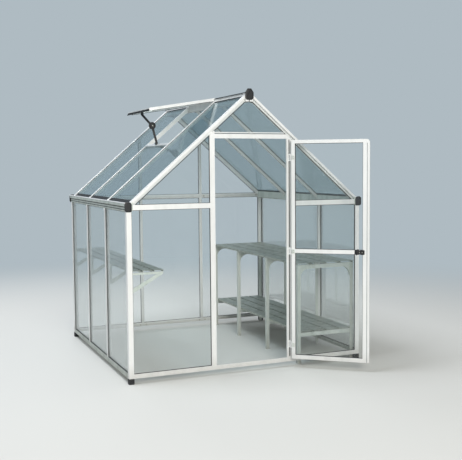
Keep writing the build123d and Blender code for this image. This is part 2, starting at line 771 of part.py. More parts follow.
# Panes sit in slots cut to their own shape
end_panes = front_panes + gable_panes
far_panes = back_panes + back_gable_panes
roof_panes = left_roof_panes + right_roof_panes
posts = [cut(p, left_wall_panes + right_wall_panes + end_panes + far_panes) for p in posts]
front_rafters = [cut(r, end_panes + roof_panes) for r in (front_rafter, flip_x(front_rafter))]
back_rafter = flip_y(front_rafter)
back_rafters = [cut(r, far_panes + roof_panes) for r in (back_rafter, flip_x(back_rafter))]
eave_bars = [cut(b, end_panes + [front_rafter, flip_x(front_rafter)]) for b in (eave_left, eave_right)]
back_bars = [cut(b, far_panes + [back_rafter, flip_x(back_rafter)])
             for b in (back_bar_left, flip_x(back_bar_left), back_bar_mid)]

keep("front_base_rail", cut(front_rail, front_panes))
keep("back_base_rail", cut(flip_y(front_rail), back_panes))
keep("side_base_rails", cut(left_rail, left_wall_panes), cut(flip_x(left_rail), right_wall_panes))
keep("corner_feet", *feet)
keep("corner_posts", *posts)
keep("side_wall_studs", *[cut(s, left_wall_panes) for s in left_studs],
     *[cut(flip_x(s), right_wall_panes) for s in left_studs])
keep("door_posts", *[cut(p, end_panes) for p in door_posts])
keep("door_header", cut(header, gable_panes + [flip_x(front_rafter)]))
keep("front_eave_bars", *eave_bars)
keep("back_wall_studs", *[cut(s, far_panes) for s in (back_stud_left, back_stud_right)])
keep("back_eave_bars", *back_bars)
keep("left_eave_gutter", cut(left_gutter, left_wall_panes + roof_panes))
keep("right_eave_gutter", cut(flip_x(left_gutter), right_wall_panes + roof_panes))
keep("gutter_end_caps", *caps)
keep("ridge_beam", cut(ridge, roof_panes + end_panes + far_panes))
keep("ridge_end_caps", ridge_cap, flip_y(ridge_cap))
keep("front_rafters", *front_rafters)
keep("back_rafters", *back_rafters)
keep("left_roof_bars", *[cut(b, left_roof_panes) for b in roof_bars])
keep("right_roof_bars", *[cut(flip_x(b), right_roof_panes) for b in roof_bars])
keep("vent_sill", cut(sill, left_roof_panes))
keep("left_wall_panes", *left_wall_panes)
keep("right_wall_panes", *right_wall_panes)
keep("front_panes", *end_panes)
keep("back_panes", *far_panes)
keep("left_roof_panes", *left_roof_panes)
keep("right_roof_panes", *right_roof_panes)
keep("vent_cross_rails", cut(hinge_rail, [vent_pane]), cut(free_rail, [vent_pane]))
keep("vent_side_rails", *[cut(s, [vent_pane]) for s in vent_sides])
keep("vent_pane", vent_pane)
keep("vent_stay_arms", *arms)
keep("vent_stay_brackets", *brackets)
keep("vent_stay_knob", knob)
keep("door_stiles", *swung(stiles))
keep("door_rails", *swung(door_rails))
keep("door_panes", *swung(door_panes))
keep("door_latch", *swung(latches))
keep("door_hinge_knuckles", *swung([door_hinge(z) for z in hinge_heights]))
keep("door_hinge_brackets", *[frame_hinge(z) for z in hinge_heights])
keep("left_shelf_slats", *shelf)
keep("left_shelf_brackets", *shelf_brackets)
keep("staging_slats", *upper_deck, *lower_deck)
keep("staging_legs", *staging_legs)
keep("staging_ties", *ties)

os.makedirs("parts", exist_ok=True)
for name, solids in nodes.items():
    export_step(Compound(children=solids, label=name), f"parts/{name}.step")
print(len(nodes), "nodes")
print("door pin", round(pin_x, 2), round(pin_y, 2))
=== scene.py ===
# Polycarbonate greenhouse: finishes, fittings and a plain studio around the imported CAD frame
from math import atan2, cos, pi, radians, sin, tan
import bmesh
import bpy
from mathutils import Matrix, Vector


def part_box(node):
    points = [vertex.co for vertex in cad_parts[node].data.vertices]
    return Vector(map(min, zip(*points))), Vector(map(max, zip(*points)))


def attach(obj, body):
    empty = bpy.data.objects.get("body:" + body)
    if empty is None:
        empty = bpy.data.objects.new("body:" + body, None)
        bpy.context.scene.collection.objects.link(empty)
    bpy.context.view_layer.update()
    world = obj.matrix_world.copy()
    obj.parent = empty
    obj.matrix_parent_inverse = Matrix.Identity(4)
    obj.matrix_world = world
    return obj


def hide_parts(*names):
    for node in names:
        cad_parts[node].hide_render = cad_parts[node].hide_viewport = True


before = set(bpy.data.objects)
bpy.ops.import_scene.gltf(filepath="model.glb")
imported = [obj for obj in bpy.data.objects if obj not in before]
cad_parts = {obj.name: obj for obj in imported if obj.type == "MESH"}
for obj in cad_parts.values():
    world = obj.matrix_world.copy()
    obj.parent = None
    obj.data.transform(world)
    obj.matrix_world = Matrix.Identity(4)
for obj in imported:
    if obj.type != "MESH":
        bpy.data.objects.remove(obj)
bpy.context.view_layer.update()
scene = bpy.context.scene
print("frame loaded:", len(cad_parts), "nodes")

# Sizes of the house in millimetres, the same as the CAD source has
house = {
    "spanX": 1810, "spanY": 1785, "bays": 3,
    "eave": 1230, "ridge": 2017, "gutterUnder": 1202, "railUnder": 40, "railTop": 71,
    "postHalf": 18, "studHalf": 12, "doorPostHalf": 19, "barDepth": 30,
    "doorPosts": (615.5, 1222.5), "header": 1722.5, "headerHalf": 16,
    "roofRise": 19.5, "rafterHeight": 36, "rafterLeg": 16, "paneSetback": 6, "paneThickness": 4,
    "ridgeHalf": 28, "beadInset": 1, "beadHeight": 2031, "endFace": -21, "capThickness": 7, "sillX": 492.3,
}
# The door in its closed place, and how far it stands open
door = {
    "pin": (1224.5, -41), "swing": 140, "faces": (-25, -49), "hingeEdge": 1215.5,
    "hinges": (174, 875, 1567.5), "paneFaces": (-39, -35),
    "openAcross": (687.5, 1188.5), "openUp": ((99, 864.5), (893.5, 1670.5)),
}
mm = 0.001
overlap = 1         # how far a small part reaches into the one that it sits on
nearly = 0.1        # taken as nothing where faces and edges are picked by their place
half = house["spanX"] / 2
slope = atan2(house["ridge"] - house["eave"], half)
bay = house["spanY"] / house["bays"]
stations = [bay * i for i in range(1, house["bays"])]
innerFace = house["barDepth"] - house["postHalf"]


def at(x, y, z):
    return Vector((x, y, z)) * mm


def mirrorAcross(x):
    return house["spanX"] - x


backStuds = (house["doorPosts"][0], mirrorAcross(house["doorPosts"][0]))
pinPlace = Matrix.Translation(at(*door["pin"], 0))
doorSwung = pinPlace @ Matrix.Rotation(radians(door["swing"]), 4, "Z") @ pinPlace.inverted()


# Finishes: the small functions that they share
def toLinear(hexColour):
    parts = [int(hexColour[i:i + 2], 16) / 255 for i in (1, 3, 5)]
    return tuple(c / 12.92 if c <= 0.04045 else ((c + 0.055) / 1.055) ** 2.4 for c in parts) + (1.0,)


def addNode(tree, kind, settings=None, links=None):
    node = tree.nodes.new(kind)
    for key, value in (settings or {}).items():
        if isinstance(key, int) or key in node.inputs:
            node.inputs[key].default_value = value
        else:
            setattr(node, key, value)
    for key, source in (links or {}).items():
        tree.links.new(source, node.inputs[key])
    return node


def newMaterial(name):
    material = bpy.data.materials.new(name)
    material.use_nodes = True
    tree = material.node_tree
    tree.nodes.clear()
    return material, tree, addNode(tree, "ShaderNodeTexCoord").outputs["Object"]


def colourAndRoughness(tree, values, second, share):
    # both run from their first value to the second one as share rises
    colour = addNode(tree, "ShaderNodeMix", {
        "data_type": "RGBA", 6: toLinear(values["colour"]), 7: toLinear(values[second])}, {0: share})
    rough = addNode(tree, "ShaderNodeMapRange", {
        "To Min": values["roughness"], "To Max": values[second + "Roughness"]}, {"Value": share})
    return colour.outputs[2], rough.outputs[0]


# Anodised aluminium, extruded: a pale satin metal. The die leaves fine lines along each bar,
# rain leaves faint marks, and the lowest hand's breadth carries a little dried soil.
aluminium = {
    "colour": "#E9EAE9", "marked": "#DCDEDD", "soil": "#9A9284",
    "metallic": 0.35, "roughness": 0.4, "markedRoughness": 0.5,
    "dieLineMm": 5.0,       # real lines are under 1 mm apart, drawn coarser so that they show
    "alongMm": 400.0, "markMm": 90.0, "markStretch": 0.22, "speckScale": 120.0, "soilTopMm": 150.0,
    "lineBump": 0.10,
}


def extrudedAluminium(name, run, values):
    # run is the way the bar was drawn through its die: x, y, z or slope
    material, tree, place = newMaterial(name)
    split = addNode(tree, "ShaderNodeSeparateXYZ", links={0: place})
    along, fine = 1000 / values["alongMm"], 1000 / values["dieLineMm"]
    if run == "slope":
        off = addNode(tree, "ShaderNodeMath", {"operation": "SUBTRACT", 1: half * mm},
                      {0: split.outputs["X"]})
        folded = addNode(tree, "ShaderNodeMath", {"operation": "ABSOLUTE"}, {0: off.outputs[0]})
        both = addNode(tree, "ShaderNodeCombineXYZ", links={
            "X": folded.outputs[0], "Y": split.outputs["Y"], "Z": split.outputs["Z"]})
        turned = addNode(tree, "ShaderNodeMapping", {"Rotation": (0, -slope, 0)}, {"Vector": both.outputs[0]})
        lineSource, scale = turned.outputs[0], (along, fine, fine)
    else:
        lineSource = place
        scale = tuple(along if axis == run else fine for axis in "xyz")
    stretched = addNode(tree, "ShaderNodeMapping", {"Scale": scale}, {"Vector": lineSource})
    lines = addNode(tree, "ShaderNodeTexNoise", {"Scale": 1.0, "Detail": 2.0, "Roughness": 0.6},
                    {"Vector": stretched.outputs[0]})
    rain = addNode(tree, "ShaderNodeMapping", {"Scale": (1.0, 1.0, values["markStretch"])}, {"Vector": place})
    marks = addNode(tree, "ShaderNodeTexNoise", {
        "Scale": 1000 / values["markMm"], "Detail": 4.0, "Roughness": 0.55}, {"Vector": rain.outputs[0]})
    marked = addNode(tree, "ShaderNodeMapRange", {"From Min": 0.42, "From Max": 0.72},
                     {"Value": marks.outputs[0]})
    metal, rough = colourAndRoughness(tree, values, "marked", marked.outputs[0])
    low = addNode(tree, "ShaderNodeMapRange", {
        "From Min": values["soilTopMm"] * mm, "From Max": 0.0, "To Min": 0.0, "To Max": 0.8},
        {"Value": split.outputs["Z"]})
    specks = addNode(tree, "ShaderNodeTexNoise", {
        "Scale": values["speckScale"], "Detail": 5.0, "Roughness": 0.7}, {"Vector": place})
    patchy = addNode(tree, "ShaderNodeMath", {"operation": "MULTIPLY"},
                     {0: low.outputs[0], 1: specks.outputs[0]})
    soiled = addNode(tree, "ShaderNodeMix", {"data_type": "RGBA", 7: toLinear(values["soil"])},
                     {0: patchy.outputs[0], 6: metal})
    bump = addNode(tree, "ShaderNodeBump", {"Strength": values["lineBump"], "Distance": 0.0006},
                   {"Height": lines.outputs[0]})
    shader = addNode(tree, "ShaderNodeBsdfPrincipled", {"Metallic": values["metallic"]}, {
        "Base Color": soiled.outputs[2], "Roughness": rough, "Normal": bump.outputs[0]})
    addNode(tree, "ShaderNodeOutputMaterial", links={"Surface": shader.outputs[0]})
    return material


uprightBar = extrudedAluminium("anodised_aluminium_extruded_upright", "z", aluminium)
crossBar = extrudedAluminium("anodised_aluminium_extruded_across", "x", aluminium)
deepBar = extrudedAluminium("anodised_aluminium_extruded_deep", "y", aluminium)
slopeBar = extrudedAluminium("anodised_aluminium_extruded_slope", "slope", aluminium)

# The gutters and the low side rails: a darker grey-green copy of the same metal, partly a damp film and
# partly painted shade on these faces
weatheredAndShaded = dict(aluminium, colour="#C3CAC4", marked="#A9B1AB", roughness=0.5, markedRoughness=0.62,
                 markMm=45.0)
weatheredAndShadedBar = extrudedAluminium("anodised_aluminium_weathered_painted_shade_deep", "y", weatheredAndShaded)

# Mill-finish aluminium, rolled and folded: the staging is greyer and duller than the frame,
# and its legs and ties are paler than its slats
staging = dict(aluminium, colour="#B7BBB2", marked="#9DA29A", roughness=0.42, markedRoughness=0.58,
               markMm=60.0, metallic=0.8)
deepSlat = extrudedAluminium("mill_aluminium_rolled_deep", "y", staging)
stagingFrame = dict(staging, colour="#D6DBD6", marked="#BEC6C0", metallic=0.5)
uprightSlat = extrudedAluminium("mill_aluminium_rolled_upright", "z", stagingFrame)
crossSlat = extrudedAluminium("mill_aluminium_rolled_across", "x", stagingFrame)

# Clear polycarbonate, extruded sheet: nearly invisible face on, a pale mirror at a slant, with a thin film of
# dust that thickens towards the lower edges. The roof's sheets are tinted against the sun, and only their
# outer faces mirror. On the roof the film colour is blue-grey, so its mirror and the small share shown face
# on are a painted sky reflection over the dust.
wallSheet = {
    "tint": "#FDFEFE", "filmAndSheen": "#EEF2F2", "seen": 0.0, "slant": 0.6, "inside": 1.0, "dustShare": 0.03,
    "mirror": 0.8, "roughness": 0.05, "streakMm": 26.0, "streakStretch": 0.12, "waveMm": 260.0,
}
roofSheet = dict(wallSheet, tint="#DCE4E5", filmAndSheen="#B2C6D1", seen=0.03, slant=1.0, inside=0.0,
                 dustShare=0.01, mirror=0.9, roughness=0.09)


def clearSheet(name, values, dustFrom, dustTo):
    # the dust is thickest at the height dustFrom and thinnest at dustTo
    material, tree, place = newMaterial(name)
    split = addNode(tree, "ShaderNodeSeparateXYZ", links={0: place})
    runs = addNode(tree, "ShaderNodeMapping", {"Scale": (1.0, 1.0, values["streakStretch"])},
                   {"Vector": place})
    streaks = addNode(tree, "ShaderNodeTexNoise", {
        "Scale": 1000 / values["streakMm"], "Detail": 5.0, "Roughness": 0.62}, {"Vector": runs.outputs[0]})
    filmAndSheen = addNode(tree, "ShaderNodeMapRange", {
        "From Min": 0.45, "From Max": 0.8, "To Min": 0.15, "To Max": 1.0}, {"Value": streaks.outputs[0]})
    low = addNode(tree, "ShaderNodeMapRange", {
        "From Min": dustTo * mm, "From Max": dustFrom * mm, "To Min": 0.35, "To Max": 1.0},
        {"Value": split.outputs["Z"]})
    dust = addNode(tree, "ShaderNodeMath", {"operation": "MULTIPLY"}, {0: filmAndSheen.outputs[0], 1: low.outputs[0]})
    dusty = addNode(tree, "ShaderNodeMath", {
        "operation": "MULTIPLY_ADD", 1: values["dustShare"], 2: values["seen"]}, {0: dust.outputs[0]})
    edgeOn = addNode(tree, "ShaderNodeLayerWeight", {"Blend": 0.32})
    hit = addNode(tree, "ShaderNodeNewGeometry")
    outside = addNode(tree, "ShaderNodeMapRange", {
        "To Min": values["slant"], "To Max": values["slant"] * values["inside"]},
        {"Value": hit.outputs["Backfacing"]})
    mirrored = addNode(tree, "ShaderNodeMath", {"operation": "MULTIPLY"},
                       {0: edgeOn.outputs["Fresnel"], 1: outside.outputs[0]})
    share = addNode(tree, "ShaderNodeMath", {"operation": "ADD", "use_clamp": True},
                    {0: dusty.outputs[0], 1: mirrored.outputs[0]})
    waves = addNode(tree, "ShaderNodeTexNoise", {"Scale": 1000 / values["waveMm"], "Detail": 1.0},
                    {"Vector": place})
    bump = addNode(tree, "ShaderNodeBump", {"Strength": 0.25, "Distance": 0.002},
                   {"Height": waves.outputs[0]})
    through = addNode(tree, "ShaderNodeBsdfTransparent", {"Color": toLinear(values["tint"])})
    # on the roof this colour tints the mirror blue-grey: a painted sky reflection
    face = addNode(tree, "ShaderNodeBsdfPrincipled", {
        "Base Color": toLinear(values["filmAndSheen"]), "Roughness": values["roughness"], "IOR": 1.58,
        "Metallic": values["mirror"]},
        {"Normal": bump.outputs[0]})
    mixed = addNode(tree, "ShaderNodeMixShader", links={
        0: share.outputs[0], 1: through.outputs[0], 2: face.outputs[0]})
    addNode(tree, "ShaderNodeOutputMaterial", links={"Surface": mixed.outputs[0]})
    return material


wallPane = clearSheet("clear_polycarbonate_sheet_wall", wallSheet, house["railTop"], 500)
gablePane = clearSheet("clear_polycarbonate_sheet_end", wallSheet, house["railTop"], 500)
roofPane = clearSheet("clear_polycarbonate_sheet_roof", roofSheet, house["eave"], 1500)

# Glass-filled nylon, moulded: black, faintly grained, with softer highlights than paint
nylon = {
    "colour": "#161719", "worn": "#232528", "roughness": 0.45, "wornRoughness": 0.6, "patchScale": 22.0,
    "grainMm": 1.6,         # the tool's spark texture is about 0.2 mm, drawn coarser
    "grainBump": 0.25,
}
# EPDM rubber, extruded: dull charcoal strips that hold the panes, and the same dark strips laid as painted
# shade along gutters, roof bars, ridge, vent, door post and bolt channels
rubber = dict(nylon, colour="#26282A", worn="#3B3E40", roughness=0.72, wornRoughness=0.85, grainMm=3.0,
              grainBump=0.1)
# Polypropylene pile, woven: the fuzzy grey strip along the door's free stile
pile = dict(rubber, colour="#85898B", worn="#9EA2A4", grainBump=0.4)
# White ABS, moulded: the small push-in shoes, bright tips at the ends of the bars
absShell = dict(nylon, colour="#F0F1EF", worn="#E0E2E0", grainMm=2.0, grainBump=0.12)


def mouldedPlastic(name, values):
    material, tree, place = newMaterial(name)
    grain = addNode(tree, "ShaderNodeTexNoise", {"Scale": 1000 / values["grainMm"], "Detail": 2.0},
                    {"Vector": place})
    patches = addNode(tree, "ShaderNodeTexNoise", {
        "Scale": values["patchScale"], "Detail": 5.0, "Roughness": 0.6}, {"Vector": place})
    worn = addNode(tree, "ShaderNodeMapRange", {"From Min": 0.45, "From Max": 0.75},
                   {"Value": patches.outputs[0]})
    colour, rough = colourAndRoughness(tree, values, "worn", worn.outputs[0])
    bump = addNode(tree, "ShaderNodeBump", {"Strength": values["grainBump"], "Distance": 0.0004},
                   {"Height": grain.outputs[0]})
    shader = addNode(tree, "ShaderNodeBsdfPrincipled", {"IOR": 1.5}, {
        "Base Color": colour, "Roughness": rough, "Normal": bump.outputs[0]})
    addNode(tree, "ShaderNodeOutputMaterial", links={"Surface": shader.outputs[0]})
    return material


blackNylon = mouldedPlastic("black_nylon_moulded", nylon)
rubberAndPaintedShade = mouldedPlastic("epdm_rubber_extruded_and_painted_shade", rubber)
greyPile = mouldedPlastic("grey_pile_strip_woven", pile)
whiteAbs = mouldedPlastic("white_abs_moulded", absShell)

# Zinc-plated steel, cold formed: a slightly warm bright grey for nuts, washers and screws
zinc = {"colour": "#C8C6BE", "dull": "#9E9C94", "roughness": 0.3, "dullRoughness": 0.5, "patchMm": 6.0}


def platedSteel(name, values):
    material, tree, place = newMaterial(name)
    patches = addNode(tree, "ShaderNodeTexNoise", {"Scale": 1000 / values["patchMm"], "Detail": 3.0},
                      {"Vector": place})
    colour, rough = colourAndRoughness(tree, values, "dull", patches.outputs[0])
    shader = addNode(tree, "ShaderNodeBsdfPrincipled", {"Metallic": 1.0}, {
        "Base Color": colour, "Roughness": rough})
    addNode(tree, "ShaderNodeOutputMaterial", links={"Surface": shader.outputs[0]})
    return material


zincSteel = platedSteel("zinc_plated_steel_formed", zinc)
print("finishes ready:", len(bpy.data.materials))

# Finishes on the CAD nodes
nodeFinishes = (
    (uprightBar, "corner_posts side_wall_studs door_posts back_wall_studs door_stiles"),
    (uprightBar, "door_hinge_knuckles door_hinge_brackets"),
    (crossBar, "front_base_rail back_base_rail door_header front_eave_bars back_eave_bars door_rails"),
    (deepBar, "ridge_beam vent_sill vent_cross_rails"),
    (slopeBar, "front_rafters back_rafters left_roof_bars right_roof_bars vent_side_rails"),
    (weatheredAndShadedBar, "side_base_rails left_eave_gutter right_eave_gutter"),
    (wallPane, "left_wall_panes right_wall_panes"),
    (gablePane, "front_panes back_panes door_panes"),
    (roofPane, "left_roof_panes right_roof_panes vent_pane"),
    (blackNylon, "vent_stay_arms vent_stay_brackets vent_stay_knob door_latch"),
    (blackNylon, "corner_feet gutter_end_caps ridge_end_caps"),
    (deepSlat, "left_shelf_slats staging_slats"),
    (uprightSlat, "left_shelf_brackets staging_legs"),
    (crossSlat, "staging_ties"),
)
for finish, nodeNames in nodeFinishes:
    for nodeName in nodeNames.split():
        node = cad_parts[nodeName]
        node.data.materials.clear()
        node.data.materials.append(finish)
print("CAD nodes finished")


# Shaping: a part is modelled in millimetres round its own origin, its front towards +Z, and is then
# set down in the frame. In the dictionaries a block is its width, height, depth, corner and edge, a
# stud is its radius, height, edge, sides and taper, and a front is its rim, the step and how deep it
# is sunk.
def seat(place, outward, upward=(0, 0, 1)):
    out = Vector(outward).normalized()
    across = Vector(upward).cross(out).normalized()
    turn = Matrix((across, out.cross(across), out)).transposed().to_4x4()
    return Matrix.Translation(Vector(place) * mm) @ turn @ Matrix.Scale(mm, 4)


def lifted(height, across=0, up=0):
    return Matrix.Translation((across, up, height))


def inMillimetres(box):
    return [[value / mm for value in corner] for corner in box]


def addPart(whole, part, place):
    bmesh.ops.transform(part, matrix=place, verts=part.verts)
    mesh = bpy.data.meshes.new("part")
    part.to_mesh(mesh)
    part.free()
    whole.from_mesh(mesh)
    bpy.data.meshes.remove(mesh)


def frontFace(part):
    return max(part.faces, key=lambda face: (round(face.calc_center_median().z, 3), face.calc_area()))


def bevelEdges(part, edges, width, segments=2):
    bmesh.ops.bevel(part, geom=list(edges), offset=width, segments=segments, profile=0.5, affect="EDGES",
                    material=-1)


def pullFaces(part, faces, reach):
    grown = bmesh.ops.extrude_face_region(part, geom=list(faces))["geom"]
    bmesh.ops.translate(part, vec=reach, verts=[g for g in grown if isinstance(g, bmesh.types.BMVert)])


def raisedPlate(corners, rounds, depth, edgeRound):
    part = bmesh.new()
    verts = [part.verts.new((x, y, 0)) for x, y in corners]
    part.faces.new(verts)
    for vert, radius in zip(verts, rounds):
        bmesh.ops.bevel(part, geom=[vert], offset=radius, segments=5, profile=0.5, affect="VERTICES",
                        material=-1)
    pullFaces(part, part.faces, (0, 0, depth))
    bmesh.ops.recalc_face_normals(part, faces=part.faces)
    bevelEdges(part, frontFace(part).edges, edgeRound)
    return part


def flatDisc(radius, sides):
    part = bmesh.new()
    bmesh.ops.create_circle(part, cap_ends=True, segments=sides, radius=radius)
    return part


def ringSolid(part, width, reach):
    # turns the one face of part into a flat ring of this width, and gives it a thickness
    face = part.faces[:][0]
    face.normal_update()
    bmesh.ops.inset_region(part, faces=[face], thickness=width, use_boundary=True, use_even_offset=True)
    bmesh.ops.delete(part, geom=[face], context="FACES")
    pullFaces(part, part.faces, reach)
    bmesh.ops.recalc_face_normals(part, faces=part.faces)


def roundedBlock(width, height, depth, corner, edgeRound):
    w, h = width / 2, height / 2
    return raisedPlate([(-w, -h), (w, -h), (w, h), (-w, h)], [corner] * 4, depth, edgeRound)


def sinkFront(part, rim, step, depth):
    # leaves a rim round the front face and sinks the rest, with a sloping step between
    face = frontFace(part)
    bmesh.ops.inset_region(part, faces=[face], thickness=rim)
    bmesh.ops.inset_region(part, faces=[face], thickness=step, depth=-depth)


def roundStud(radius, height, edgeRound, sides, taper=0.0):
    part = bmesh.new()
    bmesh.ops.create_cone(part, cap_ends=True, segments=sides, radius1=radius, radius2=radius - taper,
                          depth=height, matrix=lifted(height / 2))
    if edgeRound:
        bevelEdges(part, frontFace(part).edges, edgeRound)
    return part


def extrudeAlong(whole, points, reach):
    face = whole.faces.new([whole.verts.new(point) for point in points])
    pullFaces(whole, [face], reach)


def meshObject(name, part, material):
    mesh = bpy.data.meshes.new(name)
    part.to_mesh(mesh)
    part.free()
    mesh.materials.append(material)
    made = bpy.data.objects.new(name, mesh)
    scene.collection.objects.link(made)
    return made


def finishPiece(name, whole, material, body, creaseDegrees=32, mergeWithin=0.00001):
    bmesh.ops.remove_doubles(whole, verts=whole.verts, dist=mergeWithin)
    bmesh.ops.recalc_face_normals(whole, faces=whole.faces)
    for face in whole.faces:
        face.smooth = True
    for edge in whole.edges:
        if len(edge.link_faces) == 2 and edge.calc_face_angle(0) > radians(creaseDegrees):
            edge.smooth = False
    piece = meshObject(name, whole, material)
    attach(piece, body)
    return piece


def cornerPlace(acrossX, acrossY):
    # takes a part of the front left corner to one of the four corners
    corner = at(house["spanX"] * acrossX, house["spanY"] * acrossY, 0)
    return Matrix.Translation(corner) @ Matrix.Diagonal((1 - 2 * acrossX, 1 - 2 * acrossY, 1, 1))


# Places and directions on the two slopes: sign is -1 on the left slope and 1 on the right one
def slopePoint(sign, along, over, y):
    # along is measured up the slope from the wall line, over is above the top of the bars
    x = along * cos(slope) - over * sin(slope)
    z = house["eave"] + house["roofRise"] / cos(slope) + along * sin(slope) + over * cos(slope)
    return Vector((x if sign < 0 else mirrorAcross(x), y, z))


def slopeReach(sign, start, end):
    return (slopePoint(sign, end, 0, 0) - slopePoint(sign, start, 0, 0)) * mm


def downSlope(sign):
    return Vector((sign * cos(slope), 0, -sin(slope)))


def offSlope(sign):
    return Vector((sign * sin(slope), 0, cos(slope)))


def underRafter(x):
    # height of the underside of the rafters over x
    line = house["eave"] + min(x, mirrorAcross(x)) * tan(slope)
    return line + (house["roofRise"] - house["rafterHeight"]) / cos(slope)


def bayEdges():
    # number of each bay, and the sides of its pane
    lines = [0] + stations + [house["spanY"]]
    for i in range(house["bays"]):
        near = house["postHalf"] if i == 0 else house["studHalf"]
        far = house["postHalf"] if i == house["bays"] - 1 else house["studHalf"]
        yield i, lines[i] + near, lines[i + 1] - far


def isVentBay(sign, i):
    # the vent hangs in the middle bay of the left slope
    return sign < 0 and i == 1


# Black moulded end caps of the gutters and the ridge, and the feet
caps = {
    "gutterCorners": (16, 12, 22, 18), "gutterInner": 20, "gutterEdge": 3.2, "gutterFront": (5, 1.5, 1.6),
    "ridgeTopHalf": 14, "ridgeShoulder": 27, "ridgeFootCut": 13, "ridgeRound": 3, "ridgeEdge": 2.6,
    "ridgeFront": (7, 1.5, 1.4),
    "footCorner": 7, "footEdge": 2.5, "footPanel": 6, "footStep": 1.0, "footSink": 1.6,
    "footPanelShare": 0.3,
}


def gutterCaps(values):
    whole = bmesh.new()
    low, high = inMillimetres(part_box("gutter_end_caps"))
    outer, inner = low[0], values["gutterInner"]
    h = (high[2] - low[2]) / 2
    outline = [(outer, -h), (inner, -h), (inner, h), (outer, h)]
    seated = seat((0, low[1] + house["capThickness"], low[2] + h), (0, -1, 0))
    for acrossX in (False, True):
        for acrossY in (False, True):
            cap = raisedPlate(outline, values["gutterCorners"], house["capThickness"], values["gutterEdge"])
            sinkFront(cap, *values["gutterFront"])
            addPart(whole, cap, cornerPlace(acrossX, acrossY) @ seated)
    piece = finishPiece("moulded_gutter_caps", whole, blackNylon, "house")
    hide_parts("gutter_end_caps")


def ridgeCaps(values):
    whole = bmesh.new()
    low, high = inMillimetres(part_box("ridge_end_caps"))
    w, h = (high[0] - low[0]) / 2, (high[2] - low[2]) / 2
    rightSide = [(w - values["ridgeFootCut"], -h), (w, values["ridgeFootCut"] - h),
                 (w, h - values["ridgeShoulder"]), (values["ridgeTopHalf"], h)]
    outline = rightSide + [(-x, z) for x, z in reversed(rightSide)]
    for y, way in ((low[1] + house["capThickness"], -1), (high[1] - house["capThickness"], 1)):
        cap = raisedPlate(outline, [values["ridgeRound"]] * len(outline), house["capThickness"],
                          values["ridgeEdge"])
        sinkFront(cap, *values["ridgeFront"])
        addPart(whole, cap, seat((half, y, low[2] + h), (0, way, 0)))
    piece = finishPiece("moulded_ridge_caps", whole, blackNylon, "house")
    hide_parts("ridge_end_caps")


def feet(values):
    whole = bmesh.new()
    low, high = inMillimetres(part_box("corner_feet"))
    size, tall = 2 * abs(low[0]), high[2] - low[2]
    for x in (0, house["spanX"]):
        for y in (0, house["spanY"]):
            foot = roundedBlock(size, size, tall, values["footCorner"], values["footEdge"])
            underneath = [e for e in foot.edges if all(v.co.z < nearly for v in e.verts)]
            bevelEdges(foot, underneath, values["footEdge"])
            sides = [f for f in foot.faces
                     if abs(f.normal.z) < nearly and f.calc_area() > tall * size * values["footPanelShare"]]
            for width, sink in ((values["footPanel"], 0), (values["footStep"], values["footSink"])):
                bmesh.ops.inset_individual(foot, faces=sides, thickness=width, depth=-sink)
            addPart(whole, foot, seat((x, y, 0), (0, 0, 1), (0, 1, 0)))
    piece = finishPiece("moulded_corner_feet", whole, blackNylon, "house")
    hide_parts("corner_feet")


gutterCaps(caps)
ridgeCaps(caps)
feet(caps)
print("caps and feet ready")

# Door latch: on each face of the door a backing strip, a turn handle and a hooked keeper
latch = {
    "middle": (710.5, 879), "handlePlace": 19, "keeperPlace": 19.5, "backing": (72, 26, 2.2, 6, 0.8),
    "handlePlate": (34, 34, 5, 6, 1.4), "keeperPlate": (33, 34, 5, 6, 1.4), "plateFront": (2.5, 0.8, 0.8),
    "turnStud": (13, 7, 1.5, 32, 1.0), "grip": (11, 38, 7, 3.6, 1.6), "hook": (13, 36, 5, 3.6, 1.4),
    "bolt": (5, 9, 5, 1.2, 0.6), "squareHead": (6, 6, 2, 1.2, 0.6),
}


def doorLatch(values):
    whole, metal = bmesh.new(), bmesh.new()
    for y, way in zip(door["faces"], (1, -1)):
        x, z = values["middle"]
        face = doorSwung @ seat((x, y, z), (0, way, 0))
        handlePlace, keeperPlace = -way * values["handlePlace"], way * values["keeperPlace"]
        addPart(whole, roundedBlock(*values["backing"]), face)
        for size, side in ((values["handlePlate"], handlePlace), (values["keeperPlate"], keeperPlace)):
            plate = roundedBlock(*size)
            sinkFront(plate, *values["plateFront"])
            addPart(whole, plate, face @ lifted(0, side))
        handle = face @ lifted(values["handlePlate"][2] - overlap, handlePlace)
        addPart(whole, roundStud(*values["turnStud"]), handle)
        addPart(whole, roundedBlock(*values["grip"]), handle @ lifted(values["turnStud"][1] - overlap))
        keeper = face @ lifted(values["keeperPlate"][2] - overlap, keeperPlace)
        addPart(whole, roundedBlock(*values["hook"]), keeper)
        addPart(metal, roundedBlock(*values["squareHead"]), keeper @ lifted(values["hook"][2]))
        addPart(metal, roundedBlock(*values["bolt"]), face)
    piece = finishPiece("moulded_door_latch", whole, blackNylon, "door")
    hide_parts("door_latch")
    finishPiece("latch_bolts", metal, zincSteel, "door")


doorLatch(latch)
print("latch ready")

# Vent stay knob: a disc that the arms are clamped against, and a lobed hand nut with a sunk face
# that shows the end of its bolt
knob = {
    "lobes": 6, "lobeDepth": 0.13, "headSides": 48, "edge": 1.8, "front": (4.5, 0.8, 3.0),
    "collarShare": 0.62, "collar": 5, "collarSides": 24, "bolt": (4.0, 3.5, 0.6, 16), "boltSunk": 0.5,
    "discRadius": 29, "discHole": 17, "discThickness": 3, "discEdge": 0.8, "discSides": 36,
}


def clampDisc(values):
    disc = flatDisc(values["discRadius"], values["discSides"])
    bmesh.ops.recalc_face_normals(disc, faces=disc.faces)
    ringSolid(disc, values["discRadius"] - values["discHole"], (0, 0, values["discThickness"]))
    rims = [e for e in disc.edges if all(v.co.z > nearly for v in e.verts)
            and len({round(f.normal.z) for f in e.link_faces}) > 1]
    bevelEdges(disc, rims, values["discEdge"])
    return disc


